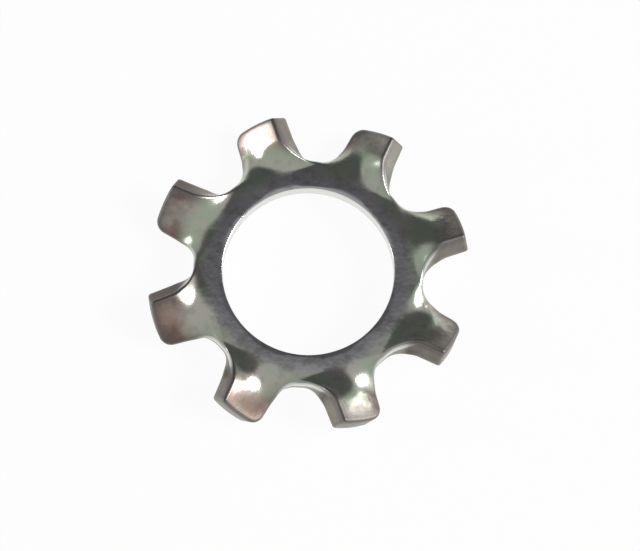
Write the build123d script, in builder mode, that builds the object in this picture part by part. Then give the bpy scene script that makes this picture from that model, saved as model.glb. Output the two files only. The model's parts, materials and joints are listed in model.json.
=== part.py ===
from build123d import *
import math
import os

# External-tooth lock washer for an M5 screw, in millimetres: one piece of spring steel, punched flat
# and then pressed, so that each tooth is twisted about its own middle line.
# +Z is the bore's axis, and +X runs out through the middle of a gap between two teeth. The lowest
# corners of the teeth stand on the plane z = 0. Seen from +Z, each tooth's clockwise flank is high.

bore_diameter = 5.3
outside_diameter = 10.0
sheet_thickness = 0.6
tooth_count = 8
gap_bottom_diameter = 7.12
tooth_root_width = 1.82  # between the flanks, at the circle of the gap bottoms
tooth_tip_width = 1.62  # between the flanks, at the outside circle
root_fillet_radius = 0.62
high_corner_radius = 0.11
low_corner_radius = 0.40
edge_bevel = 0.05  # the upper edge of the outline, where the punch drew the steel in
twist_angle = 37.6
twist_length = 0.80  # along a tooth, from the flat ring to the straight part of the tooth
twist_slices = 12

bore_radius = bore_diameter / 2
outside_radius = outside_diameter / 2
gap_bottom_radius = gap_bottom_diameter / 2
half_pitch = 180 / tooth_count
beyond_tip = 1.1 * outside_radius

# The twist starts on the straight line between the bottoms of the two gaps beside a tooth, so
# that the ring inside these lines, a polygon with a corner in each gap, stays flat.
twist_start = gap_bottom_radius * math.cos(math.radians(half_pitch))
twist_end = twist_start + twist_length

# The largest root fillet is the one that makes the bottom of a gap a full round.
flank_slope = (tooth_root_width - tooth_tip_width) / 2 / (outside_radius - gap_bottom_radius)
flank_lean = math.atan(flank_slope)
flank_offset = (tooth_root_width / 2 + gap_bottom_radius * flank_slope) * math.cos(flank_lean)
gap_sine = math.sin(math.radians(half_pitch) + flank_lean)
full_round_radius = (gap_bottom_radius * gap_sine - flank_offset) / (1 - gap_sine)


def flank_half_width(station):
    """Half the distance between a tooth's straight flanks, this far from the bore's axis."""
    return tooth_root_width / 2 - flank_slope * (station - gap_bottom_radius)


# The flat blank of one tooth, as punched: the disc inside the gaps and a tapered tooth along +X.
with BuildSketch() as blank:
    with BuildLine():
        Polyline(
            (0, -flank_half_width(0)),
            (beyond_tip, -flank_half_width(beyond_tip)),
            (beyond_tip, flank_half_width(beyond_tip)),
            (0, flank_half_width(0)),
            close=True,
        )
    make_face()
    Circle(outside_radius, mode=Mode.INTERSECT)
    high_corner = blank.vertices().sort_by(Axis.X)[-2:].sort_by(Axis.Y)[0]
    fillet(high_corner, high_corner_radius)
    low_corner = blank.vertices().sort_by(Axis.X)[-3:].sort_by(Axis.Y)[-1]
    fillet(low_corner, low_corner_radius)
    Circle(gap_bottom_radius)
    root_corners = blank.vertices().sort_by(Axis.X)[:2]
    fillet(root_corners, min(root_fillet_radius, full_round_radius))


def chord(station):
    """The line across the flat blank, square to the tooth, this far from the bore's axis."""
    across = Edge.make_line((station, -outside_radius), (station, outside_radius))
    return across.intersect(blank.face())[0]


def slice_plane(station):
    """The plane square to the tooth, turned about its middle line by the twist reached there.

    The twist starts and ends gently: its share follows 3 s^2 - 2 s^3 along the twisted length.
    """
    share = (station - twist_start) / twist_length
    turn = math.radians(twist_angle) * share**2 * (3 - 2 * share)
    return Plane((station, 0, 0), x_dir=(0, math.cos(turn), -math.sin(turn)), z_dir=(1, 0, 0))


# One tooth. Its root is a loft through slices of the blank, each turned a little further, which
# crowd together where the root fillets run into the gaps. Beyond it the blank is flat and tilted.
with BuildPart() as tooth:
    for step in range(twist_slices + 1):
        station = twist_start + twist_length * (step / twist_slices) ** 2
        with BuildSketch(slice_plane(station)):
            with Locations((chord(station).center().Y, 0)):
                Rectangle(chord(station).length, sheet_thickness)
    loft()
    with BuildSketch(Plane.XY.rotated((-twist_angle, 0, 0))):
        add(blank.sketch)
        with Locations((twist_end + outside_radius, 0)):
            Rectangle(outside_diameter, outside_diameter, mode=Mode.INTERSECT)
    extrude(amount=sheet_thickness / 2, both=True)


def is_upper_skin(face):
    """Whether a face is on the upper side of the sheet, which leans anticlockwise on the teeth.

    The cut face of a high flank looks up as well, but leans clockwise.
    """
    normal = face.normal_at()
    anticlockwise = Vector(0, 0, 1).cross(face.center())
    return normal.Z > 0.1 and normal.dot(anticlockwise) > -0.01


# The washer: the flat ring, the teeth around it, and the bevel along the outline's upper edge.
with BuildPart() as lock_washer:
    with BuildSketch():
        RegularPolygon(gap_bottom_radius, tooth_count)
        Circle(bore_radius, mode=Mode.SUBTRACT)
    extrude(amount=sheet_thickness / 2, both=True)
    with PolarLocations(0, tooth_count, start_angle=half_pitch):
        add(tooth.part)
    upper_edges = lock_washer.faces().filter_by(is_upper_skin).edges().sort_by(SortBy.LENGTH)
    outline_edges = [edge for edge in upper_edges[:-1] if upper_edges.count(edge) == 1]
    chamfer(outline_edges, min(edge_bevel, 0.8 * high_corner_radius, 0.8 * low_corner_radius))

standing_height = -lock_washer.part.bounding_box().min.Z
lock_washer.part.locate(Location((0, 0, standing_height)))
lock_washer.part.label = "lock_washer"

os.makedirs("parts", exist_ok=True)
export_step(lock_washer.part, "parts/lock_washer.step")
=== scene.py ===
import json
import math

import bpy
import numpy as np
from mathutils import Matrix, Vector


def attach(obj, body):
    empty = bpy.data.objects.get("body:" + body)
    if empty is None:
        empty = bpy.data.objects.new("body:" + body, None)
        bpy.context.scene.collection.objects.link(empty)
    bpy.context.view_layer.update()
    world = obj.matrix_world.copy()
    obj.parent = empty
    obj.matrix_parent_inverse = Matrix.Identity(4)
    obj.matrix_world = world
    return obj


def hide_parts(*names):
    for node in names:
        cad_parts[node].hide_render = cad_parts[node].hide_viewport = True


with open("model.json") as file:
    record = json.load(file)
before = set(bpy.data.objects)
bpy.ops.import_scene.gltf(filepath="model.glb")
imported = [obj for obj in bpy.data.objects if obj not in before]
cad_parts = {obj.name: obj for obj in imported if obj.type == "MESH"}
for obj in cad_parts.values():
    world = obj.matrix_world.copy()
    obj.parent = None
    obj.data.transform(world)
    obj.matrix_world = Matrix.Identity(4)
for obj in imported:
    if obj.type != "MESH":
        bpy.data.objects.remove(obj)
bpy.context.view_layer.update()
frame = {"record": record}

# ----------------------------------------------------------------------------------------------
# The lock washer: one piece of spring steel, punched flat, with its eight teeth pressed round.
# The punch draws the sheet in along the upper edge of its outline and leaves the lower one sharp.
# It is hardened, then zinc-plated in a barrel, so every face has the same bright, tumbled film.
# ----------------------------------------------------------------------------------------------
mm = 0.001
screw_hole = next(m for m in frame["record"]["mounts"] if m["name"] == "screw_hole")
bore_radius = screw_hole["dims"]["r_mm"]
ring_height = screw_hole["pos_m"][2] / mm  # from the table to the middle of the ring's sheet

# The punched blank, in millimetres. A tooth's high corner is tight and its low one generous.
teeth = 8
outside_radius = 5.0
gap_radius = 3.56
root_half_width = 0.91
tip_half_width = 0.81
root_fillet = 0.62
high_corner = 0.11
low_corner = 0.40
sheet = 0.60
edge_roll = 0.10  # how far in the rounding of the outline's upper edge reaches
edge_drop = 0.10  # and how far down
lower_edge = 0.02  # the rounding of both lower edges
bore_edge = 0.04  # and of the bore's upper one
high_flank_slope = 0.08  # sideways for each unit of height, where the die bears on the edge
pull_reaches = (0.12, 0.30, 0.80)  # how far in from the outline each of the punch's pulls fades
draw_in = (0.0, 0.03, -0.02)  # how far each one lowers the upper skin

# What the die does to it. Distances along a tooth are from the bore's axis.
ring_cone = math.radians(0.15)
ring_crown = 0.030  # the ring's rise towards the bore, for each square millimetre
twist_start = 3.15
twist_end = 4.25
ridge_start = 3.2
ridge_height = 0.04
ridge_half_width = 0.9
lean_start = 3.5
shared_angle = math.radians(7)  # each side of a gap's middle, where both its teeth move the ring
# Pressing leaves no two teeth alike. Each list runs anticlockwise from +X, one value a tooth.
twist_angle = np.radians([37, 37, 42, 37, 37, 37, 37, 37])
lean = np.radians([3, 0, 4, 0, 0, -4, 0, 0])
hollow = np.array([0.0, 0.05, 0.0, 0.05, 0.05, 0.05, 0.05, 0.0])


def eased(value, start, end):
    """The share 3 s^2 - 2 s^3, where s runs evenly from 0 at start to 1 at end and stops there."""
    s = np.clip((value - start) / (end - start), 0, 1)
    return s**2 * (3 - 2 * s)


def arc(centre, radius, start, end, count=200):
    """The centre plus the radius times the cosine and sine of angles from start to end."""
    angle = np.linspace(start, end, count)
    return np.asarray(centre) + radius * np.stack([np.cos(angle), np.sin(angle)], axis=1)


def half_outline(corner_radius, flank_inset=0.0):
    """Half a pitch of the punched outline, from the middle of a gap to the middle of a tip.

    It is an arc of the gap circle, the root fillet, the straight flank, the corner and an arc of
    the tip circle. Each round touches its neighbours, so its centre is where the flank's line,
    moved by its radius, crosses a circle that is as much larger or smaller.
    """
    along = np.array([outside_radius - gap_radius, tip_half_width - root_half_width])
    along /= np.linalg.norm(along)
    away = np.array([-along[1], along[0]])

    def centre(offset, circle):
        start = np.array([gap_radius, root_half_width - flank_inset]) + offset * away
        reach = math.sqrt((start @ along) ** 2 - start @ start + circle**2) - start @ along
        return start + reach * along

    fillet = centre(root_fillet, gap_radius + root_fillet)
    corner = centre(-corner_radius, outside_radius - corner_radius)
    gap_end = math.atan2(fillet[1], fillet[0])
    tip_end = math.atan2(corner[1], corner[0])
    flank_end = math.atan2(away[1], away[0])
    return np.concatenate([
        arc((0, 0), gap_radius, math.pi / teeth, gap_end),
        arc(fillet, root_fillet, gap_end - math.pi, flank_end - math.pi)[1:],
        np.linspace(fillet - root_fillet * away, corner + corner_radius * away, 200)[1:-1],
        arc(corner, corner_radius, flank_end, tip_end),
        arc((0, 0), outside_radius, tip_end, 0)[1:],
    ])


def whole_pitch(flank_inset=0.0):
    """One tooth's outline from gap to gap, with its high flank moved in by this much."""
    high_side = half_outline(high_corner, flank_inset) * (1, -1)
    return np.concatenate([high_side, half_outline(low_corner)[::-1][1:]])


def pitch_outline(count):
    """Points along one tooth's outline, under and on top of the sheet, and their inward normals.

    The points are evenly spaced by length plus the corner weight for each radian of turn, so that
    they crowd at the corners. Those on top are the same way along as those under them.
    """
    corner_weight = 0.10
    dense = whole_pitch()
    run = np.diff(dense, axis=0)
    heading = np.unwrap(np.arctan2(run[:, 1], run[:, 0]))
    turn = np.abs(np.diff(heading, prepend=heading[0]))
    step = np.linalg.norm(run, axis=1) + corner_weight * turn
    station = np.concatenate([[0], np.cumsum(step)])
    even = np.linspace(0, station[-1], count, endpoint=False)

    def at_even(values):
        return np.stack([np.interp(even, station, values[:, k]) for k in (0, 1)], axis=1)

    dense_top = whole_pitch(high_flank_slope * sheet)
    run = np.gradient(dense_top, axis=0)
    run = at_even(run / np.linalg.norm(run, axis=1, keepdims=True))
    inward = np.stack([-run[:, 1], run[:, 0]], axis=1)
    return at_even(dense), at_even(dense_top), inward / np.linalg.norm(inward, axis=1, keepdims=True)


def cut_section():
    """The sheet's section from the bore to the outline and back, as six rows of numbers.

    share runs from 0 at the outline to 1 at the bore. rise is 0 under the sheet and 1 on top, and
    places the point between the two outlines. inset and bore_inset are the distances in from the
    outline and from the bore's wall. height is over the middle of the sheet. pull is the share of
    the draw-in that the point follows, from 0 underneath to 1 at the top. The edges are quarter
    ellipses: the inset is 1 - sin a and the drop 1 - cos a of their size, where a runs from 90
    degrees on the wall to 0 on the skin. The skins and the walls are straight.
    """
    skin = np.concatenate([
        np.linspace(0, 0.5, 22), np.linspace(0.5, 0.75, 7)[1:], np.linspace(0.75, 1, 5)[1:],
    ])
    wall = np.linspace(0, 1, 6)[1:-1]
    bore_wall = np.array([0.1, -0.1])
    fine = np.radians([90, 75, 60, 45, 32, 20, 10])
    coarse = np.radians([90, 60, 30])
    fine_in, fine_down = 1 - np.sin(fine), 1 - np.cos(fine)
    coarse_in, coarse_down = 1 - np.sin(coarse), 1 - np.cos(coarse)
    half = sheet / 2
    wall_height = sheet - lower_edge - edge_drop

    def rows(share, rise, inset, bore_inset, height):
        return np.stack(np.broadcast_arrays(share, rise, inset, bore_inset, height)).astype(float)

    parts = [
        rows(skin[::-1], 0, lower_edge, lower_edge, -half),
        rows(0, 0, lower_edge * coarse_in[::-1], 0, -half + lower_edge * coarse_down[::-1]),
        rows(0, wall, 0, 0, -half + lower_edge + wall * wall_height),
        rows(0, 1, edge_roll * fine_in, 0, half - edge_drop * fine_down),
        rows(skin, 1, edge_roll, bore_edge, half),
        rows(1, 1, edge_roll, bore_edge * coarse_in[::-1], half - bore_edge * coarse_down[::-1]),
        rows(1, 1, edge_roll, 0, bore_wall),
        rows(1, 1, edge_roll, lower_edge * coarse_in, -half + lower_edge * coarse_down),
    ]
    share, rise, inset, bore_inset, height = np.concatenate(parts, axis=1)
    return share, rise, inset, bore_inset, height, np.clip((height + half) / (sheet - edge_drop), 0, 1)


def outline_pull(plan, reach):
    """How strongly the punched outline pulls at these points of the flat blank.

    It is the sum along the outline of exp(-d / reach) / (2 reach), where d is the distance from the
    outline. So it is 1 at a straight edge, more in a corner, and fades out smoothly across a tooth.
    """
    dense = whole_pitch(high_flank_slope * sheet)[::4]
    length = np.linalg.norm(np.gradient(dense, axis=0), axis=1)
    total = np.zeros(plan.shape[:2])
    for turn in (-2 * math.pi / teeth, 0, 2 * math.pi / teeth):
        edge = dense @ np.array([[math.cos(turn), math.sin(turn)], [-math.sin(turn), math.cos(turn)]])
        distance = np.hypot(plan[..., None, 0] - edge[:, 0], plan[..., None, 1] - edge[:, 1])
        total += np.sum(np.exp(-distance / reach) * length, axis=2)
    return total / (2 * reach)


def press(tooth, x, y, z):
    """Where the die moves points of the flat sheet, along, across and above each one's tooth.

    From root to tip the tooth is leant over, by the tangent of its lean times y, and hollowed
    across, by its hollow times y^2. Its root has a ridge along the middle, which rises and falls
    along the tooth as a squared sine and falls off across it as a parabola. Then the tooth turns
    about its middle line, by the eased share of its angle.
    """
    z = z + eased(x, lean_start, outside_radius) * (np.tan(lean[tooth]) * y + hollow[tooth] * y**2)
    along_ridge = np.clip((x - ridge_start) / (outside_radius - ridge_start), 0, 1)
    across_ridge = np.clip(1 - (y / ridge_half_width) ** 2, 0, None)
    z = z + ridge_height * np.sin(np.pi * along_ridge) ** 2 * across_ridge
    turn = twist_angle[tooth] * eased(x, twist_start, twist_end)
    return x, y * np.cos(turn) + z * np.sin(turn), z * np.cos(turn) - y * np.sin(turn)


def washer_surface(count=140):
    """A grid of points, around the washer and around the sheet's section, flat and then pressed.

    Flat, a point lies between the outline, moved in by its inset, and the bore's wall at the same
    angle, by its share. The outline's top is set in along the high flank. The upper skin is drawn
    in by the punch's pulls. The ring rises towards the bore by a cone, and by a crown that goes
    with the square of the distance from the bore. A point near the middle of a gap moves with the
    teeth on both sides: with its own by half and half of the eased share of the way to the end of
    the shared angle, and with the other by the rest. Two numbers go along: one is 1 on the cut
    faces and fades to 0 over the rounded edges, and the other is the pull with the least reach.
    """
    lower_outline, upper_outline, inward = pitch_outline(count)
    share, rise, inset, bore_inset, height, pull = cut_section()
    angle = np.arctan2(lower_outline[:, 1], lower_outline[:, 0])[:, None]
    edge = lower_outline[:, None] * (1 - rise[:, None]) + upper_outline[:, None] * rise[:, None]
    edge = edge + inset[:, None] * inward[:, None]
    bore = (bore_radius + bore_inset)[:, None] * np.stack([np.cos(angle), np.sin(angle)], axis=2)
    plan = edge * (1 - share[:, None]) + bore * share[:, None]
    x, y = plan[..., 0], plan[..., 1]
    from_bore = np.hypot(x, y) - bore_radius
    ring_width = gap_radius - bore_radius
    crown = ring_crown * (ring_width**2 - np.clip(from_bore, 0, ring_width) ** 2)
    z = height + crown - math.tan(ring_cone) * from_bore
    pulls = [outline_pull(plan, reach) for reach in pull_reaches]
    z = z - pull * sum(depth * each for depth, each in zip(draw_in, pulls))

    pitch = 2 * math.pi / teeth
    own = np.arange(teeth)[:, None, None]
    side = np.where(np.arange(count) < count / 2, -1, 1)[None, :, None]
    other = (own + side) % teeth
    own_share = 0.5 + 0.5 * eased(pitch / 2 - np.abs(np.arctan2(y, x)), 0, shared_angle)
    points = 0
    for tooth, turn, part in ((own, 0 * side, own_share), (other, side * pitch, 1 - own_share)):
        turned_x = x * np.cos(turn) + y * np.sin(turn)
        turned_y = y * np.cos(turn) - x * np.sin(turn)
        along, across, up = press(tooth, turned_x, turned_y, z)
        middle = pitch * (own + 0.5) + turn
        placed_x = along * np.cos(middle) - across * np.sin(middle)
        placed_y = along * np.sin(middle) + across * np.cos(middle)
        placed = np.stack(np.broadcast_arrays(placed_x, placed_y, up), axis=3)
        points = points + part[..., None] * placed

    middle = pitch * (own + 0.5)
    blank_x = x * np.cos(middle) - y * np.sin(middle)
    blank_y = x * np.sin(middle) + y * np.cos(middle)
    blank = np.stack(np.broadcast_arrays(blank_x, blank_y, height), axis=3)
    at_bore = share == 1
    rounding = np.where(height > 0, np.where(at_bore, bore_edge, edge_roll), lower_edge)
    set_in = np.where(at_bore, bore_inset, inset)
    sheared = np.where(at_bore | (share == 0), 1 - set_in / rounding, 0)
    near_edge = np.tile(pulls[0], (teeth, 1, 1))
    grid = (teeth * count, share.size)
    return (
        points.reshape(*grid, 3), blank.reshape(*grid, 3),
        np.broadcast_to(sheared, grid), near_edge.reshape(grid),
    )


points, blank, sheared, near_edge = washer_surface()
points[..., 2] += ring_height
around, across = points.shape[:2]
corner = np.arange(around * across).reshape(around, across)
next_around = np.roll(corner, -1, axis=0)
next_across = np.roll(corner, -1, axis=1)
faces = np.stack([corner, next_around, np.roll(next_around, -1, axis=1), next_across], axis=2)
washer_mesh = bpy.data.meshes.new("lock_washer_pressed")
washer_mesh.from_pydata(points.reshape(-1, 3) * mm, [], faces.reshape(-1, 4))
washer_mesh.shade_smooth()
blank_place = washer_mesh.attributes.new("blank", "FLOAT_VECTOR", "POINT")
blank_place.data.foreach_set("vector", blank.ravel())
for name, values in (("sheared", sheared), ("near_edge", near_edge)):
    share_here = washer_mesh.attributes.new(name, "FLOAT", "POINT")
    share_here.data.foreach_set("value", values.ravel())
washer = bpy.data.objects.new("lock_washer_pressed", washer_mesh)
bpy.context.scene.collection.objects.link(washer)


def linear(hex_colour):
    """An sRGB hex colour as linear red, green, blue and alpha."""
    parts = [int(hex_colour[k:k + 2], 16) / 255 for k in (1, 3, 5)]
    return [c / 12.92 if c <= 0.04045 else ((c + 0.055) / 1.055) ** 2.4 for c in parts] + [1.0]


def add_node(tree, kind, inputs, **settings):
    """Adds a node, sets its properties, and sets or links the inputs that are named."""
    made = tree.nodes.new(kind)
    for name, value in settings.items():
        setattr(made, name, value)
    for name, value in inputs.items():
        if isinstance(value, bpy.types.NodeSocket):
            tree.links.new(value, made.inputs[name])
        else:
            made.inputs[name].default_value = value
    return made


# Bright zinc, plated and then passivated. The clear film gives the white metal a faint straw cast
# past the ring. Where it is thicker it turns green at the roots of the teeth and brown towards
# their tips, in cloudy patches. Painted shade darkens the rim of the upper skin, and maroon painted
# shade, in patches, darkens the low side of each tooth and the teeth at -X. On the cut faces the top
# is smooth and pale, and the rest torn, stained in patches and darkened by painted shade at -X.
white_zinc = linear("#DCDBE0")
straw_film = linear("#E2DDD2")
dull_film = linear("#A9A49C")
green_film = linear("#D0E0C8")
brown_film = linear("#D8B8A6")
# A dark maroon: painted shade, low on the teeth and on the teeth at -X.
maroon_painted_shade = linear("#866D6B")
# A dark grey for the rim of the upper skin: painted shade.
painted_rim_shade = linear("#756F6D")
burnished_cut = linear("#DCDCD8")
torn_cut = linear("#A29E95")
# A dark stain colour, which at -X is painted shade.
stain_and_painted_shade_cut = linear("#6A605A")
rim_roughness = 0.50

plating = bpy.data.materials.new("zinc_plated_spring_steel")
plating.use_nodes = True
tree = plating.node_tree
tree.nodes.clear()

# Places on the pressed washer are in metres, and places on its flat blank in millimetres.
place = add_node(tree, "ShaderNodeTexCoord", {}).outputs["Object"]
height = add_node(tree, "ShaderNodeSeparateXYZ", {"Vector": place}).outputs["Z"]
flat = add_node(tree, "ShaderNodeAttribute", {}, attribute_name="blank").outputs["Vector"]
cut = add_node(tree, "ShaderNodeAttribute", {}, attribute_name="sheared").outputs["Fac"]
rim = add_node(tree, "ShaderNodeAttribute", {}, attribute_name="near_edge").outputs["Fac"]
axes = add_node(tree, "ShaderNodeSeparateXYZ", {"Vector": flat})
plan = add_node(tree, "ShaderNodeVectorMath", {
    0: flat, 1: (1, 1, 0),
}, operation="MULTIPLY").outputs[0]
radius = add_node(tree, "ShaderNodeVectorMath", {0: plan}, operation="LENGTH").outputs["Value"]

# Three clouds of film from one noise: patches of 1.0 mm, broken up down to a tenth of that. A
# finer noise, with patches of 0.3 mm, makes the metal a little dull in places.
cloud = add_node(tree, "ShaderNodeTexNoise", {
    "Vector": place, "Scale": 1 / (1.0 * mm), "Detail": 4.0, "Roughness": 0.62,
})
clouds = add_node(tree, "ShaderNodeSeparateColor", {"Color": cloud.outputs["Color"]})
green_cloud = add_node(tree, "ShaderNodeMapRange", {
    "Value": clouds.outputs["Red"], "From Min": 0.36, "From Max": 0.60,
}, interpolation_type="SMOOTHSTEP").outputs[0]
brown_cloud = add_node(tree, "ShaderNodeMapRange", {
    "Value": clouds.outputs["Green"], "From Min": 0.40, "From Max": 0.60, "To Min": 0.25,
}, interpolation_type="SMOOTHSTEP").outputs[0]
dark_cloud = add_node(tree, "ShaderNodeMapRange", {
    "Value": clouds.outputs["Blue"], "From Min": 0.40, "From Max": 0.62, "To Min": 0.25, "To Max": 0.9,
}, interpolation_type="SMOOTHSTEP").outputs[0]
fine_cloud = add_node(tree, "ShaderNodeTexNoise", {
    "Vector": place, "Scale": 1 / (0.3 * mm), "Detail": 3.0,
}).outputs["Fac"]
dull_share = add_node(tree, "ShaderNodeMapRange", {
    "Value": fine_cloud, "From Min": 0.46, "From Max": 0.66, "To Max": 0.45,
}, interpolation_type="SMOOTHSTEP").outputs[0]

# Green at the roots.
past_ring = add_node(tree, "ShaderNodeMapRange", {
    "Value": radius, "From Min": 2.95, "From Max": 3.45,
}, interpolation_type="SMOOTHSTEP").outputs[0]
before_tip = add_node(tree, "ShaderNodeMapRange", {
    "Value": radius, "From Min": 4.7, "From Max": 4.1, "To Min": 0.25,
}, interpolation_type="SMOOTHSTEP").outputs[0]
root_share = add_node(tree, "ShaderNodeMath", {
    0: past_ring, 1: before_tip,
}, operation="MULTIPLY").outputs[0]
green_share = add_node(tree, "ShaderNodeMath", {
    0: root_share, 1: green_cloud,
}, operation="MULTIPLY").outputs[0]

# Brown towards the tips, and more so towards -X.
towards_tip = add_node(tree, "ShaderNodeMapRange", {
    "Value": radius, "From Min": 3.8, "From Max": 4.5,
}, interpolation_type="SMOOTHSTEP").outputs[0]
worn_side = add_node(tree, "ShaderNodeMapRange", {
    "Value": axes.outputs["X"], "From Min": 1.2, "From Max": -2.4, "To Min": 0.15,
}, interpolation_type="SMOOTHSTEP").outputs[0]
tip_share = add_node(tree, "ShaderNodeMath", {
    0: towards_tip, 1: worn_side,
}, operation="MULTIPLY").outputs[0]
brown_share = add_node(tree, "ShaderNodeMath", {
    0: tip_share, 1: brown_cloud,
}, operation="MULTIPLY").outputs[0]

# Maroon painted shade in patches towards the tips: low down, and on the teeth furthest towards -X.
low_side = add_node(tree, "ShaderNodeMapRange", {
    "Value": height, "From Min": 1.05 * mm, "From Max": 0.55 * mm,
}, interpolation_type="SMOOTHSTEP").outputs[0]
far_side = add_node(tree, "ShaderNodeMapRange", {
    "Value": axes.outputs["X"], "From Min": -2.8, "From Max": -4.2,
}, interpolation_type="SMOOTHSTEP").outputs[0]
low_or_far = add_node(tree, "ShaderNodeMath", {
    0: low_side, 1: far_side,
}, operation="MAXIMUM").outputs[0]
shade_towards_tips = add_node(tree, "ShaderNodeMath", {
    0: low_or_far, 1: towards_tip,
}, operation="MULTIPLY").outputs[0]
maroon_shade_share = add_node(tree, "ShaderNodeMath", {
    0: shade_towards_tips, 1: dark_cloud,
}, operation="MULTIPLY").outputs[0]

# Dull along the rim of the upper skin, and darkened there by painted shade, less so in the root
# fillets.
on_top = add_node(tree, "ShaderNodeMapRange", {
    "Value": axes.outputs["Z"], "From Min": 0.0, "From Max": 0.25,
}, interpolation_type="SMOOTHSTEP").outputs[0]
off_fillet = add_node(tree, "ShaderNodeMapRange", {
    "Value": radius, "From Min": 3.6, "From Max": 4.1, "To Min": 0.35, "To Max": 0.95,
}, interpolation_type="SMOOTHSTEP").outputs[0]
top_rim = add_node(tree, "ShaderNodeMath", {0: rim, 1: on_top}, operation="MULTIPLY").outputs[0]
rim_dullness_and_painted_shade = add_node(tree, "ShaderNodeMath", {
    0: top_rim, 1: off_fillet,
}, operation="MULTIPLY", use_clamp=True).outputs[0]

# On the cut faces the smooth band is narrow, but in the root fillets it takes most of the sheet.
# Below its ragged edge the steel is torn, with a grain of 0.06 mm. Score lines 0.05 mm apart run
# down the smooth band. The torn part is stained in patches, and at -X painted shade darkens it all
# over.
torn_grain = add_node(tree, "ShaderNodeTexNoise", {
    "Vector": flat, "Scale": 1 / 0.06, "Detail": 2.0,
}).outputs["Fac"]
score_place = add_node(tree, "ShaderNodeVectorMath", {
    0: flat, 1: (1 / 0.05, 1 / 0.05, 1.5),
}, operation="MULTIPLY").outputs[0]
score = add_node(tree, "ShaderNodeTexNoise", {
    "Vector": score_place, "Scale": 1.0, "Detail": 1.0,
}).outputs["Fac"]
ragged = add_node(tree, "ShaderNodeMath", {
    0: score, 1: 0.08, 2: axes.outputs["Z"],
}, operation="MULTIPLY_ADD").outputs[0]
torn_below = add_node(tree, "ShaderNodeMapRange", {
    "Value": radius, "From Min": 2.65, "From Max": 4.20, "To Min": -0.45, "To Max": 0.20,
}).outputs[0]
torn_depth = add_node(tree, "ShaderNodeMath", {
    0: torn_below, 1: ragged,
}, operation="SUBTRACT").outputs[0]
torn_share = add_node(tree, "ShaderNodeMapRange", {
    "Value": torn_depth, "From Min": -0.08, "From Max": 0.04,
}, interpolation_type="SMOOTHSTEP").outputs[0]
patches = add_node(tree, "ShaderNodeMath", {0: dark_cloud, 1: 0.40}, operation="MULTIPLY").outputs[0]
# At -X the darkening is painted shade; elsewhere the patches are stains.
stain_and_painted_shade = add_node(tree, "ShaderNodeMath", {0: patches, 1: far_side}, operation="MAXIMUM").outputs[0]
stain_and_shade_share = add_node(tree, "ShaderNodeMath", {
    0: stain_and_painted_shade, 1: torn_share,
}, operation="MULTIPLY").outputs[0]

# The skin's colours go over one another, and so do those of the cut faces.
skin_colour = white_zinc
for share, film in (
    (past_ring, straw_film), (dull_share, dull_film), (green_share, green_film),
    (brown_share, brown_film), (maroon_shade_share, maroon_painted_shade),
):
    skin_colour = add_node(tree, "ShaderNodeMix", {
        0: share, 6: skin_colour, 7: film,
    }, data_type="RGBA").outputs[2]
cut_colour = burnished_cut
for share, finish in ((torn_share, torn_cut), (stain_and_shade_share, stain_and_painted_shade_cut)):
    cut_colour = add_node(tree, "ShaderNodeMix", {
        0: share, 6: cut_colour, 7: finish,
    }, data_type="RGBA").outputs[2]
skin_or_cut = add_node(tree, "ShaderNodeMix", {
    0: cut, 6: skin_colour, 7: cut_colour,
}, data_type="RGBA").outputs[2]
# The rim's painted shade goes over the rest.
colour = add_node(tree, "ShaderNodeMix", {
    0: rim_dullness_and_painted_shade, 6: skin_or_cut, 7: painted_rim_shade,
}, data_type="RGBA").outputs[2]

skin_roughness = add_node(tree, "ShaderNodeMapRange", {
    "Value": clouds.outputs["Blue"], "From Min": 0.3, "From Max": 0.7, "To Min": 0.11, "To Max": 0.19,
}).outputs[0]
cut_roughness = add_node(tree, "ShaderNodeMix", {0: torn_share, 2: 0.20, 3: 0.40}).outputs[0]
roughness = add_node(tree, "ShaderNodeMix", {0: cut, 2: skin_roughness, 3: cut_roughness}).outputs[0]
roughness = add_node(tree, "ShaderNodeMix", {0: rim_dullness_and_painted_shade, 2: roughness, 3: rim_roughness}).outputs[0]

# Tumbling in the barrel leaves shallow dents, 0.25 mm across and 0.004 mm deep. The score lines
# and the torn grain are as deep.
relief_depth = 0.004 * mm
dents = add_node(tree, "ShaderNodeTexNoise", {
    "Vector": place, "Scale": 1 / (0.25 * mm), "Detail": 2.0,
}).outputs["Fac"]
dented = add_node(tree, "ShaderNodeBump", {"Height": dents, "Distance": relief_depth}).outputs[0]
cut_grain = add_node(tree, "ShaderNodeMix", {0: torn_share, 2: score, 3: torn_grain}).outputs[0]
cut_height = add_node(tree, "ShaderNodeMath", {
    0: cut_grain, 1: cut,
}, operation="MULTIPLY").outputs[0]
relief = add_node(tree, "ShaderNodeBump", {
    "Height": cut_height, "Distance": relief_depth, "Normal": dented,
}).outputs[0]
surface = add_node(tree, "ShaderNodeBsdfPrincipled", {
    "Base Color": colour, "Metallic": 1.0, "Roughness": roughness, "Normal": relief,
}).outputs[0]
add_node(tree, "ShaderNodeOutputMaterial", {"Surface": surface})
washer_mesh.materials.append(plating)

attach(washer, "root")
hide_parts("lock_washer")

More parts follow.
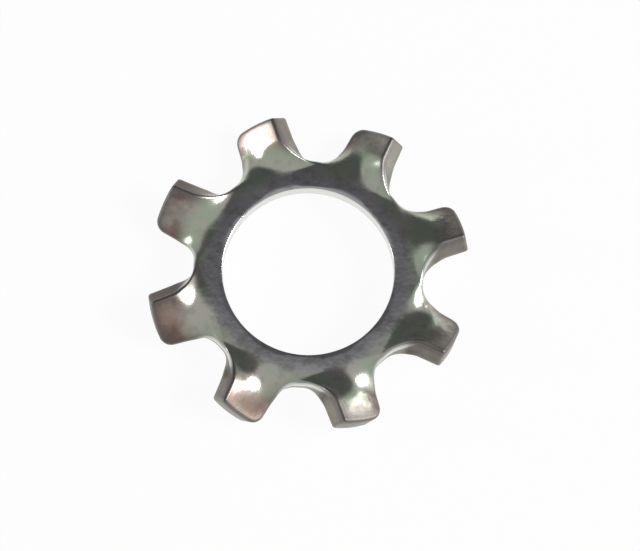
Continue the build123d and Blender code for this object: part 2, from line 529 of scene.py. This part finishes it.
# ----------------------------------------------------------------------------------------------
# The table: a sheet of white card under the washer, which the metal and the camera see as white.
# ----------------------------------------------------------------------------------------------
card_half = 2.0  # in metres, so that its far edges lie beyond every view
card_glow = 0.94  # the share of plain white in what is seen of it; the rest takes the shadow
card_corners = [(x * card_half, y * card_half, 0) for x, y in ((-1, -1), (1, -1), (1, 1), (-1, 1))]
card_mesh = bpy.data.meshes.new("white_card")
card_mesh.from_pydata(card_corners, [], [(0, 1, 2, 3)])
card = bpy.data.objects.new("white_card", card_mesh)
bpy.context.scene.collection.objects.link(card)
paper = bpy.data.materials.new("matt_white_card")
paper.use_nodes = True
tree = paper.node_tree
tree.nodes.clear()
rays = add_node(tree, "ShaderNodeLightPath", {})
seen = rays.outputs["Is Camera Ray"]
for kind in ("Is Glossy Ray", "Is Transmission Ray"):
    seen = add_node(tree, "ShaderNodeMath", {
        0: seen, 1: rays.outputs[kind],
    }, operation="MAXIMUM").outputs[0]
share_white = add_node(tree, "ShaderNodeMath", {0: seen, 1: card_glow}, operation="MULTIPLY")
matt = add_node(tree, "ShaderNodeBsdfDiffuse", {"Color": linear("#FAFAFA")})
glow = add_node(tree, "ShaderNodeEmission", {"Color": (1, 1, 1, 1), "Strength": 1.0})
both = add_node(tree, "ShaderNodeMixShader", {
    0: share_white.outputs[0], 1: matt.outputs[0], 2: glow.outputs[0],
})
add_node(tree, "ShaderNodeOutputMaterial", {"Surface": both.outputs[0]})
card_mesh.materials.append(paper)

# ----------------------------------------------------------------------------------------------
# The studio: a wide soft box on the right, with a small weak lamp beyond it, and a lamp low on the
# left, in a dim grey room that is darker behind the washer. Azimuths run anticlockwise from +X.
# ----------------------------------------------------------------------------------------------


def towards(azimuth, elevation):
    """The unit vector that points this way, both in degrees."""
    a, e = math.radians(azimuth), math.radians(elevation)
    return Vector((math.cos(a) * math.cos(e), math.sin(a) * math.cos(e), math.sin(e)))


def soft_box(name, azimuth, elevation, wide, high, radiance, distance=0.4):
    """An oval lamp that faces the washer and covers this many degrees of its sky.

    Its distance is in metres, and its power is its radiance times pi times its area.
    """
    lamp = bpy.data.lights.new(name, "AREA")
    lamp.shape = "ELLIPSE"
    lamp.size = 2 * distance * math.tan(math.radians(wide / 2))
    lamp.size_y = 2 * distance * math.tan(math.radians(high / 2))
    area = math.pi / 4 * lamp.size * lamp.size_y
    lamp.energy = radiance * math.pi * area
    holder = bpy.data.objects.new(name, lamp)
    back = towards(azimuth, elevation)
    right = Vector((0, 0, 1)).cross(back).normalized()
    turned = Matrix((right, back.cross(right), back)).transposed().to_4x4()
    holder.matrix_world = Matrix.Translation(distance * back) @ turned
    holder.visible_camera = False
    bpy.context.scene.collection.objects.link(holder)


soft_box("right_soft_box", azimuth=0.4, elevation=34, wide=32, high=26, radiance=13.0)
soft_box("left_lamp", azimuth=183, elevation=17, wide=11, high=10, radiance=14.0)
soft_box("far_right_lamp", azimuth=28, elevation=11, wide=5, high=4, radiance=4.5)

# The room's walls, as shares of white light.
bright_wall = (0.42, 0.42, 0.42, 1)
dark_wall = (0.092, 0.092, 0.096, 1)
white = (1, 1, 1, 1)
room = bpy.data.worlds.new("grey_room")
bpy.context.scene.world = room
room.use_nodes = True
tree = room.node_tree
tree.nodes.clear()
rays = add_node(tree, "ShaderNodeLightPath", {})
sky = add_node(tree, "ShaderNodeTexCoord", {}).outputs["Generated"]
towards_dark = add_node(tree, "ShaderNodeVectorMath", {
    0: sky, 1: towards(93.5, 32.3),
}, operation="DOT_PRODUCT").outputs["Value"]
dark_share = add_node(tree, "ShaderNodeMapRange", {
    "Value": towards_dark, "From Min": 0.58, "From Max": 0.76,
}, interpolation_type="SMOOTHSTEP").outputs[0]
wall = add_node(tree, "ShaderNodeMix", {
    0: dark_share, 6: bright_wall, 7: dark_wall,
}, data_type="RGBA").outputs[2]
shown = add_node(tree, "ShaderNodeMix", {
    0: rays.outputs["Is Camera Ray"], 6: wall, 7: white,
}, data_type="RGBA")
light = add_node(tree, "ShaderNodeBackground", {"Color": shown.outputs[2], "Strength": 1.0})
add_node(tree, "ShaderNodeOutputWorld", {"Surface": light.outputs[0]})

# ----------------------------------------------------------------------------------------------
# The camera: a long lens, high over the washer, a little off the bore's axis.
# ----------------------------------------------------------------------------------------------
image_width, image_height = 640, 551
washer_pixel = (308.1, 273.8)  # where the middle of the bore shows, from the image's top left corner
pixels_per_mm = 32.306
camera_distance = 161.3 * mm
sensor_width = 36.0
back = towards(-90.03, 75.73)  # from the washer to the camera
picture_up = towards(94.48, 0)  # which way over the table is up in the view
right = picture_up.cross(back).normalized()
lens = bpy.data.cameras.new("camera")
lens.sensor_width = sensor_width
lens.lens = sensor_width * pixels_per_mm / mm * camera_distance / image_width
lens.shift_x = (image_width / 2 - washer_pixel[0]) / image_width
lens.shift_y = (washer_pixel[1] - image_height / 2) / image_width
lens.clip_start = 0.01
lens.clip_end = 10
camera = bpy.data.objects.new("camera", lens)
turned = Matrix((right, back.cross(right), back)).transposed().to_4x4()
ring_middle = Vector((0, 0, ring_height * mm))
camera.matrix_world = Matrix.Translation(ring_middle + camera_distance * back) @ turned
bpy.context.scene.collection.objects.link(camera)
bpy.context.scene.camera = camera
bpy.context.scene.view_settings.view_transform = "Standard"
